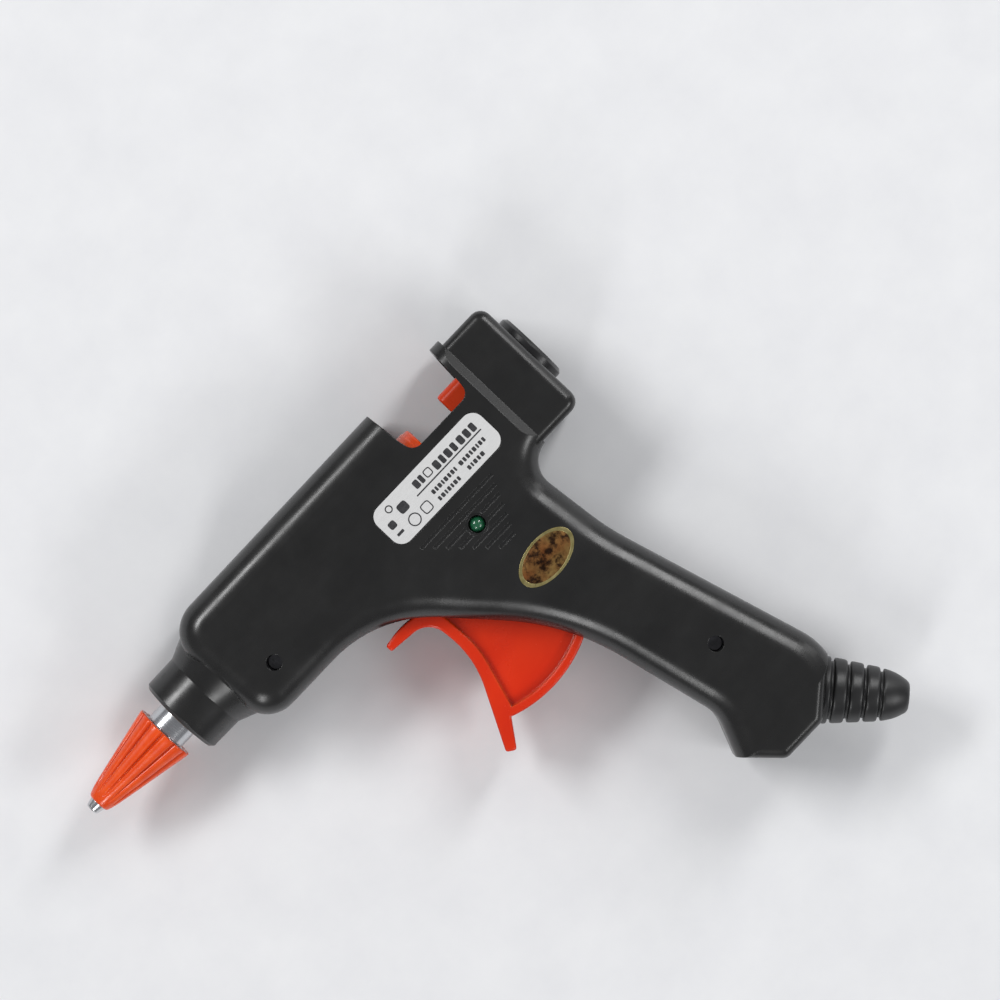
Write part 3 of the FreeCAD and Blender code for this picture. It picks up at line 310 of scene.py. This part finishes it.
# Each material's maker, its colours and what sets it apart.
LOOKS = {
    "casing_black": (moulded, [(0.0085, 0.0085, 0.0083), (0.0135, 0.0133, 0.013)],
                     dict(rough=(0.22, 0.33), grain=0.045, groove=(0.022, 0.022, 0.022))),
    "inlet_black": (moulded, [(0.01, 0.01, 0.0105), (0.016, 0.016, 0.0165)],
                    dict(rough=(0.24, 0.36), edge=EDGE_HIGHLIGHT_BLACK)),
    # The orange parts' groove colours are painted shade, and their edge colours a painted
    # highlight.
    "trigger_orange": (moulded, [(0.6, 0.021, 0.0015), (0.68, 0.03, 0.003)],
                       dict(gloss=0.4, rough=(0.2, 0.3), grain=0.03, scatter=0.05, soft=0.9 * MM,
                            edge=(0.9, 0.11, 0.02), groove=(0.4, 0.01, 0.001))),
    "carriage_orange": (moulded, [(0.68, 0.04, 0.004), (0.76, 0.055, 0.006)],
                        dict(gloss=0.3, rough=(0.26, 0.38), grain=0.04, scatter=0.06,
                             edge=(0.84, 0.11, 0.015), groove=(0.42, 0.014, 0.001))),
    "silicone_orange": (silicone, [(0.74, 0.06, 0.004), (0.84, 0.088, 0.007), (0.5, 0.022, 0.001)],
                        {}),
    "aluminium": (metal, [(0.62, 0.63, 0.65)], dict(rough=(0.14, 0.3))),
    "nozzle_metal": (metal, [(0.66, 0.66, 0.67)], dict(rough=(0.14, 0.3))),
    "steel": (metal, [(0.62, 0.62, 0.63)], dict(stretch=(1.0, 1.0, 30.0))),
    "spring_steel": (metal, [(0.5, 0.5, 0.52)], dict(rough=(0.22, 0.36))),
    "zinc_steel": (metal, [(0.2, 0.2, 0.21)], dict(rough=(0.3, 0.45), stretch=(1.0, 1.0, 1.0))),
    "contact_brass": (metal, [(0.78, 0.56, 0.24)], dict(stretch=(1.0, 12.0, 12.0))),
    "bush_fibre": (moulded, [(0.09, 0.065, 0.045), (0.16, 0.12, 0.085)],
                   dict(rough=(0.6, 0.8), grain=0.3)),
    "ceramic": (moulded, [(0.62, 0.6, 0.54), (0.74, 0.72, 0.66)],
                dict(rough=(0.5, 0.7), grain=0.2)),
    "film_amber": (moulded, [(0.5, 0.19, 0.02), (0.62, 0.26, 0.03)],
                   dict(rough=(0.12, 0.25), grain=0.02)),
    "board_green": (moulded, [(0.012, 0.09, 0.035), (0.02, 0.13, 0.05)], dict(rough=(0.3, 0.4))),
    "resistor_tan": (moulded, [(0.52, 0.36, 0.18), (0.62, 0.45, 0.25)], {}),
    "lead_brown": (moulded, [(0.09, 0.03, 0.014), (0.13, 0.045, 0.02)], dict(rough=(0.35, 0.5))),
    "lead_blue": (moulded, [(0.01, 0.05, 0.3), (0.015, 0.075, 0.4)], dict(rough=(0.35, 0.5))),
    "crimp_white": (moulded, [(0.68, 0.68, 0.64), (0.78, 0.78, 0.74)], {}),
    "boot_black": (moulded, [(0.009, 0.009, 0.0092), (0.014, 0.014, 0.0142)],
                   dict(rough=(0.3, 0.44), grain=0.08, edge=EDGE_HIGHLIGHT_BLACK)),
    "plate_silver": (plate_stock, [], {}),
    "plate_ink": (ink, [], {}),
    "seal_gold": (mottled_foil, [], {}),
    "seal_rim": (dull_foil, [], {}),
    "lamp_green": (lamp_resin, [], {}),
    "floor_paper": (floor_paper, [], {}),
}
MATERIALS = {
    name: make(name, *colours, **settings) for name, (make, colours, settings) in LOOKS.items()
}


def paint(obj, material):
    """Gives an object one of the materials by name."""
    obj.data.materials.clear()
    obj.data.materials.append(MATERIALS[material])


def paint_cad():
    """Every CAD part takes the material of its slot in the record."""
    for row in frame["record"]["subparts"]:
        paint(nodes[row["node"]], row["material_slot"])


# ---------------------------------------------------------------- mesh helpers


def new_piece(name, mesh_data, material):
    """A piece on the gun's own body. The trigger and the carriage keep their CAD shapes."""
    obj = bpy.data.objects.new(name, mesh_data)
    bpy.context.scene.collection.objects.link(obj)
    paint(obj, material)
    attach(obj, "gun")
    return obj


def mesh_of(name, vertices, faces, smooth=True):
    """Mesh data whose faces all look outward."""
    data = bpy.data.meshes.new(name)
    data.from_pydata([tuple(v) for v in vertices], [], faces)
    data.validate()
    work = bmesh.new()
    work.from_mesh(data)
    bmesh.ops.recalc_face_normals(work, faces=work.faces)
    work.to_mesh(data)
    work.free()
    for polygon in data.polygons:
        polygon.use_smooth = smooth
    return data


def ring_faces(rings, count, closed=True):
    """Quads between successive rings of the same count, and from last to first if closed."""
    faces = []
    for i in range(rings if closed else rings - 1):
        here, following = i * count, ((i + 1) % rings) * count
        for j in range(count):
            k = (j + 1) % count
            faces.append((here + j, here + k, following + k, following + j))
    return faces


MOST_OF_SIDE = 0.48  # of a side that one corner's curve may take


def softened(corners, steps=5):
    """A closed outline of (a, b, reach) corners, each rounded by a curve from reach before it."""
    points = [Vector((a, b)) for a, b, _ in corners]
    curve = []
    for i, (_, _, reach) in enumerate(corners):
        before, here, after = points[i - 1], points[i], points[(i + 1) % len(points)]
        if reach <= 0:
            curve.append(here)
            continue
        back, ahead = before - here, after - here
        start = here + back.normalized() * min(reach, MOST_OF_SIDE * back.length)
        end = here + ahead.normalized() * min(reach, MOST_OF_SIDE * ahead.length)
        for step in range(steps + 1):
            t = step / steps
            curve.append(start * (1 - t) ** 2 + here * (2 * t * (1 - t)) + end * t ** 2)
    return curve


def subdivided(curve, longest):
    """The same closed curve with no stretch longer than the given length."""
    points = []
    for here, after in zip(curve, curve[1:] + curve[:1]):
        steps = max(1, math.ceil((after - here).length / longest))
        points += [here.lerp(after, step / steps) for step in range(steps)]
    return points


def lathe(name, corners, place, material, longest=1.5, segments=96, sink=None):
    """Turns a closed outline about the x axis of a place, as a piece in the slot of its material.

    The corners are (along, radius, reach) in millimetres, as softened takes them, and stretches
    over longest are divided. sink(along, radius, angle) is how far below the surface lies.
    """
    profile = subdivided(softened(corners), longest)
    vertices = []
    for point in profile:
        for j in range(segments):
            angle = 2 * math.pi * j / segments
            radius = point.y - (sink(point.x, point.y, angle) if sink else 0)
            around = (point.x, radius * math.cos(angle), radius * math.sin(angle))
            vertices.append(place @ (Vector(around) * MM))
    data = mesh_of(name, vertices, ring_faces(len(profile), segments))
    return new_piece(name, data, material)


def prism(outline, low, high, ease=0.0):
    """Vertices and faces of a flat outline in x and y, between two heights, its top edge eased."""
    count = len(outline)
    centre = sum(outline, Vector((0, 0))) / count
    levels = [(low, 0.0), (high - ease, 0.0)]
    if ease > 0:
        levels.append((high - ease * 0.3, ease * 0.3))
    levels.append((high, ease))
    vertices = []
    for height, inward in levels:
        for point in outline:
            shrink = (centre - point).normalized() * inward
            vertices.append((point.x + shrink.x, point.y + shrink.y, height))
    faces = ring_faces(len(levels), count, closed=False)
    faces.append(tuple(reversed(range(count))))
    last = (len(levels) - 1) * count
    faces.append(tuple(last + j for j in range(count)))
    return vertices, faces


def joined(shapes):
    """One list of vertices and faces from several."""
    vertices, faces = [], []
    for more_vertices, more_faces in shapes:
        start = len(vertices)
        vertices += more_vertices
        faces += [tuple(start + index for index in face) for face in more_faces]
    return vertices, faces


# ---------------------------------------------------------------- nozzle cap


CAP_RIBS = 12
RIB_START = 1.8
RIB_FULL = 16.0  # from the ribs' start to where they have their full depth
GROOVE_DEPTH = 0.6
GROOVE_WIDTH = 0.28  # as a share of a rib
CROWN_DEPTH = 0.38


def rib_groove(along, radius, angle):
    """Narrow grooves between broad ribs on the outside, deeper towards the wide end."""
    inside = radius < 2.9 + along * 0.175
    if inside:
        return 0
    reach = min(max((along - RIB_START) / RIB_FULL, 0.0), 1.0)
    across = abs(math.sin(CAP_RIBS * angle / 2))
    groove = GROOVE_DEPTH * math.exp(-((across / GROOVE_WIDTH) ** 2))
    crown = CROWN_DEPTH * (1 - across) ** 1.5
    return (groove + crown) * reach ** 0.6


def make_nozzle_cap():
    """Ribbed silicone cap, with a plain rounded nose ring and an open wide end."""
    low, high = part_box("nozzle_cap")
    rear = (high.x - low.x) / MM - 0.1
    widest = (high.y - low.y) / 2 / MM
    corners = [(0.0, 2.25, 0.05), (0.0, 2.45, 0.3), (0.35, 2.85, 0.4), (2.6, 3.6, 1.5),
               (8.5, 4.85, 3.0), (rear, widest - 0.02, 0.5), (rear, 5.8, 0.3), (14.9, 5.15, 0),
               (2.0, 2.62, 0)]
    place = Matrix.Translation((low.x, 0, AXIS_HEIGHT))
    cap = lathe("nozzle_cap_ribbed", corners, place, "silicone_orange", longest=1.2, segments=240,
                sink=rib_groove)
    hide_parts("nozzle_cap")


# ---------------------------------------------------------------- strain relief


BOOT_LENGTH = 20.5
BOOT_BORE = 2.6
BOOT_NECK = 4.4
FLANGE = 5.4
COLLAR = 1.6
COLLAR_RADIUS = 7.98
RINGS = 3
RING_PITCH = 3.9
RING_RADIUS = 7.78
RING_STEP = 0.5  # from one ring's radius to the next
RING_GROOVE = (0.05, 0.8)  # from and to, after a ring's start
GROOVE_FLOOR = 0.9  # under the rim
NOSE_FLOOR = 5.4


def cord_place():
    """The strain relief's own frame: x along the cord outward, from the grip's facet."""
    mount = next(m for m in frame["record"]["mounts"] if m["name"] == "cable_bore")
    along = Vector(mount["axis"])
    across = Vector((0, 0, 1)).cross(along)
    turn = Matrix((along, across, (0, 0, 1))).transposed().to_4x4()
    return Matrix.Translation(Vector(mount["pos_m"]) - along * BOOT_LENGTH * MM) @ turn


def make_strain_relief():
    """Rubber boot: captive flange and neck inside the grip, a collar, broad rings, a round nose."""
    corners = [(-7.5, BOOT_BORE, 0), (-7.5, 3.8, 0.2), (-4.2, 3.8, 0.1), (-4.2, FLANGE, 0.2),
               (-2.3, FLANGE, 0.2), (-2.3, BOOT_NECK, 0.1), (0.12, BOOT_NECK, 0.1),
               (0.12, COLLAR_RADIUS, 0.4), (COLLAR, COLLAR_RADIUS, 0.6)]
    groove_from, groove_to = RING_GROOVE
    for i in range(RINGS):
        start = COLLAR + i * RING_PITCH
        rim = RING_RADIUS - RING_STEP * i
        corners += [(start + groove_from, rim - GROOVE_FLOOR, 0.3),
                    (start + groove_to, rim - GROOVE_FLOOR, 0.3), (start + 0.85, rim, 0.7),
                    (start + RING_PITCH - 0.05, rim - 0.35, 0.7)]
    nose = COLLAR + RINGS * RING_PITCH
    tip = BOOT_LENGTH - 0.02
    corners += [(nose + groove_from, NOSE_FLOOR, 0.3), (nose + groove_to, NOSE_FLOOR, 0.3),
                (nose + 0.85, 6.28, 0.7), (17.2, 5.45, 2.0), (19.9, 3.9, 1.2), (tip, 3.1, 0.4),
                (tip, BOOT_BORE, 0.2)]
    boot = lathe("strain_relief_boot", corners, cord_place(), "boot_black")
    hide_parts("strain_relief")


# ---------------------------------------------------------------- inlet sleeve


SLEEVE_SEAT = 4.95  # radius that goes over the chamber
SLEEVE_BORE = 3.87


def make_inlet_sleeve():
    """Silicone sleeve with a rounded lip and two shallow beads."""
    low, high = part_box("inlet_sleeve")
    length = (high.x - low.x) / MM
    rim = (high.y - low.y) / 2 / MM
    bead = rim - 0.02
    corners = [(0.0, SLEEVE_SEAT, 0.1), (0.0, rim - 0.15, 0.5), (3.8, rim - 0.15, 0.1),
               (4.0, bead, 0.15), (length - 1.9, bead, 0.2), (length - 1.7, rim - 0.3, 0.2),
               (length - 0.1, rim - 0.35, 0.9), (length - 0.02, 4.6, 0.6),
               (length - 1.2, SLEEVE_BORE, 0.5), (9.1, SLEEVE_BORE, 0), (9.1, SLEEVE_SEAT, 0)]
    place = Matrix.Translation((low.x, 0, AXIS_HEIGHT))
    sleeve = lathe("inlet_sleeve_soft", corners, place, "silicone_orange")
    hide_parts("inlet_sleeve")


# ---------------------------------------------------------------- return spring


WIRE = 0.3 * MM  # radius of the wire
WIRE_SIDES = 10
COIL_STEPS = 300
END_SHARE = 0.09  # of the length, for each closed end
END_TURNS = 1.75
OPEN_TURNS = 6.0


def coil_turn(along):
    """Turns wound up to a share of the coil's length: closed at both ends, open between."""
    if along < END_SHARE:
        return END_TURNS * along / END_SHARE
    if along > 1 - END_SHARE:
        return END_TURNS + OPEN_TURNS + END_TURNS * (along - 1 + END_SHARE) / END_SHARE
    return END_TURNS + OPEN_TURNS * (along - END_SHARE) / (1 - 2 * END_SHARE)


def make_return_spring():
    """Compression spring at one fixed length, closed at both ends; in the real gun it shortens as
    the carriage comes forward.
    """
    low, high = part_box("return_spring")
    centre = mid("return_spring")
    radius = (high.z - low.z) / 2 - WIRE
    wound = high.x - low.x - 2 * WIRE
    vertices = []
    for i in range(COIL_STEPS):
        along = i / (COIL_STEPS - 1)
        turn = 2 * math.pi * coil_turn(along)
        outward = Vector((0, math.cos(turn), math.sin(turn)))
        spot = Vector((low.x + WIRE + wound * along, centre.y, centre.z))
        for j in range(WIRE_SIDES):
            angle = 2 * math.pi * j / WIRE_SIDES
            rim = outward * math.cos(angle) + Vector((math.sin(angle), 0, 0))
            vertices.append(spot + outward * radius + rim * WIRE)
    last = (COIL_STEPS - 1) * WIRE_SIDES
    faces = ring_faces(COIL_STEPS, WIRE_SIDES, closed=False)
    faces += [tuple(range(WIRE_SIDES)), tuple(last + j for j in range(WIRE_SIDES))]
    data = mesh_of("return_spring_coil", vertices, faces)
    spring = new_piece("return_spring_coil", data, "spring_steel")
    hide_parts("return_spring")
    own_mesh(spring)


# ---------------------------------------------------------------- rating plate and seal


INK_HEIGHT = 0.012 * MM
LINE = 0.3  # thickness of printed outlines


def bar(x, y, length, height):
    """One flat printed bar, in millimetres from the plate's middle."""
    right, top = x + length, y + height
    ends = 0.3 * min(length, height)
    corners = [(x, y, ends), (right, y, ends), (right, top, ends), (x, top, ends)]
    return softened(corners, 3)


def blocks(x, y, widths, height, gap):
    """A row of printed blocks of the given widths."""
    row = []
    for width in widths:
        row.append(bar(x, y, width, height))
        x += width + gap
    return row


def plain_marks():
    """Blank blocks in place of lettering: a bold row over a rule, two fine rows and a few marks."""
    marks = blocks(-5.0, 1.5, (1.5, 1.1), 2.1, 0.35)
    marks += blocks(1.4, 1.15, (1.6, 1.2, 1.6, 1.3), 2.2, 0.5)
    marks += blocks(9.4, 1.15, (1.6, 1.5, 1.4), 2.2, 0.5)
    marks.append(bar(-6.2, 0.35, 21.5, 0.34))
    marks += blocks(-3.2, -2.1, (0.8, 0.6, 0.9, 0.5, 0.9, 0.7, 0.8, 0.5), 1.15, 0.32)
    marks += blocks(5.9, -2.1, (1.0, 0.7, 0.8, 0.6, 0.9, 0.5, 0.8, 0.7), 1.15, 0.34)
    marks += blocks(-3.2, -4.2, (0.7, 0.9, 0.5, 0.8, 0.6, 0.9, 0.7), 1.1, 0.32)
    marks += blocks(6.6, -4.2, (0.8, 0.5, 0.9, 0.7, 1.0), 1.1, 0.34)
    marks += [bar(-11.6, -0.1, 2.7, 2.5), bar(-15.9, -2.9, 2.0, 0.7), bar(-15.9, -0.9, 1.9, 1.9)]
    return marks


def round_outline(x, y, radius, count=28):
    """A printed circle, in millimetres from the plate's middle."""
    turns = [2 * math.pi * i / count for i in range(count)]
    return [Vector((x + radius * math.cos(turn), y + radius * math.sin(turn))) for turn in turns]


def flat_ring(outline, centre, top):
    """A printed line of even thickness along the inside of a closed outline."""
    middle = sum(outline, Vector((0, 0))) / len(outline)
    inner = [point + (middle - point).normalized() * LINE for point in outline]
    vertices = []
    for points, height in ((outline, top - INK_HEIGHT), (outline, top + INK_HEIGHT),
                           (inner, top + INK_HEIGHT), (inner, top - INK_HEIGHT)):
        vertices += [(centre.x + p.x * MM, centre.y + p.y * MM, height) for p in points]
    return vertices, ring_faces(4, len(outline))


def make_plate_marks():
    """All printed marks, as one piece that lies on the plate."""
    centre = mid("rating_plate")
    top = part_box("rating_plate")[1].z
    shapes = []
    for outline in plain_marks():
        spots = [Vector((centre.x + p.x * MM, centre.y + p.y * MM)) for p in outline]
        shapes.append(prism(spots, top - INK_HEIGHT, top + INK_HEIGHT))
    loops = [round_outline(-10.4, -2.8, 1.6), round_outline(-12.9, 3.2, 0.95),
             bar(-7.8, -4.2, 2.7, 2.7), bar(-1.5, 1.5, 2.1, 2.1)]
    shapes += [flat_ring(outline, centre, top) for outline in loops]
    data = mesh_of("plate_marks", *joined(shapes), smooth=False)
    new_piece("plate_marks", data, "plate_ink")


SEAL_HALF = (8.25, 4.75)
SEAL_TILT = math.radians(4.0)
SEAL_RIM = 0.6
RIM_HEIGHT = 0.03 * MM  # over the field
FIELD_EASE = 0.01 * MM
FIELD_TUCK = 0.01  # share by which the field goes under the rim
RIM_CHAMFER = 0.015  # share


def oval(share, count=96):
    """An outline of the seal, at a share of its full size, in metres."""
    centre = mid("oval_seal")
    points = []
    for i in range(count):
        turn = 2 * math.pi * i / count
        x = SEAL_HALF[0] * share * math.cos(turn)
        y = SEAL_HALF[1] * share * math.sin(turn)
        points.append(Vector((
            centre.x + (x * math.cos(SEAL_TILT) - y * math.sin(SEAL_TILT)) * MM,
            centre.y + (x * math.sin(SEAL_TILT) + y * math.cos(SEAL_TILT)) * MM,
        )))
    return points


def make_seal():
    """Oval foil sticker: a mottled field inside a raised plain rim."""
    low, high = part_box("oval_seal")
    step = high.z - RIM_HEIGHT
    inside = 1.0 - SEAL_RIM / SEAL_HALF[1]
    field = mesh_of("oval_seal_field", *prism(oval(inside + FIELD_TUCK), low.z, step, FIELD_EASE))
    new_piece("oval_seal_field", field, "seal_gold")
    outer, inner = oval(1.0), oval(inside)
    levels = [(outer, low.z), (outer, step), (oval(1 - RIM_CHAMFER), high.z),
              (oval(inside + RIM_CHAMFER), high.z), (inner, step), (inner, low.z)]
    vertices = [(p.x, p.y, height) for outline, height in levels for p in outline]
    data = mesh_of("oval_seal_rim", vertices, ring_faces(len(levels), len(outer)))
    rim = new_piece("oval_seal_rim", data, "seal_rim")
    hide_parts("oval_seal")


# ---------------------------------------------------------------- scene


FLOOR_SIZE = 6
FLOOR_GAP = 0.2 * MM
AIM = Vector((0.02, -0.03, 0.01))

# Name, place, size and power of each soft box.
LIGHTS = [
    ("key", (-0.25, 0.8, 0.85), (0.55, 0.22), 6.4),
    ("fill", (0.85, 0.15, 0.75), (0.22, 0.6), 4.4),
    ("front", (-0.8, -0.45, 0.7), (0.2, 0.5), 3.4),
    ("low", (0.3, -0.85, 0.65), (0.5, 0.2), 2.8),
    ("back", (1.15, -0.1, 0.3), (0.25, 0.7), 1.1),
]
SKY_COLOUR = (0.95, 0.96, 1.0, 1)
SKY_STRENGTH = 0.27

BARREL_TURN = math.radians(46.5)
VIEW_CENTRE = Vector((0.0279, -0.0195, 0.024))
VIEW_WIDTH = 0.2326
CAMERA_DISTANCE = 1.1
SENSOR = 36


def make_floor():
    bpy.ops.mesh.primitive_plane_add(size=FLOOR_SIZE, location=(0, 0, -FLOOR_GAP))
    floor = bpy.context.object
    floor.name = "floor"
    paint(floor, "floor_paper")


def make_lights():
    """Soft boxes all round and none overhead: flat faces stay deep, rounded edges shine."""
    for name, location, size, power in LIGHTS:
        data = bpy.data.lights.new(name, "AREA")
        data.shape = "RECTANGLE"
        data.size, data.size_y = size
        data.energy = power
        lamp = bpy.data.objects.new(name, data)
        bpy.context.scene.collection.objects.link(lamp)
        lamp.location = location
        lamp.rotation_euler = (AIM - Vector(location)).to_track_quat("-Z", "Y").to_euler()
    world = bpy.data.worlds.new("studio")
    world.use_nodes = True
    sky = world.node_tree.nodes["Background"].inputs
    sky["Color"].default_value = SKY_COLOUR
    sky["Strength"].default_value = SKY_STRENGTH
    bpy.context.scene.world = world
    bpy.context.scene.view_settings.view_transform = "Standard"


def make_camera():
    """Looks straight down on the gun's left side, with the barrel pointing down and to the left."""
    right = Vector((math.cos(BARREL_TURN), -math.sin(BARREL_TURN), 0))
    up = Vector((math.sin(BARREL_TURN), math.cos(BARREL_TURN), 0))
    turn = Matrix((right, up, (0, 0, 1))).transposed().to_4x4()
    data = bpy.data.cameras.new("camera")
    data.sensor_width = SENSOR
    data.lens = SENSOR * CAMERA_DISTANCE / VIEW_WIDTH
    data.clip_start, data.clip_end = 0.05, 20
    camera = bpy.data.objects.new("camera", data)
    camera.matrix_world = Matrix.Translation(VIEW_CENTRE + Vector((0, 0, CAMERA_DISTANCE))) @ turn
    bpy.context.scene.collection.objects.link(camera)
    bpy.context.scene.camera = camera


paint_cad()
make_nozzle_cap()
make_strain_relief()
make_inlet_sleeve()
make_return_spring()
make_plate_marks()
make_seal()
make_floor()
make_lights()
make_camera()
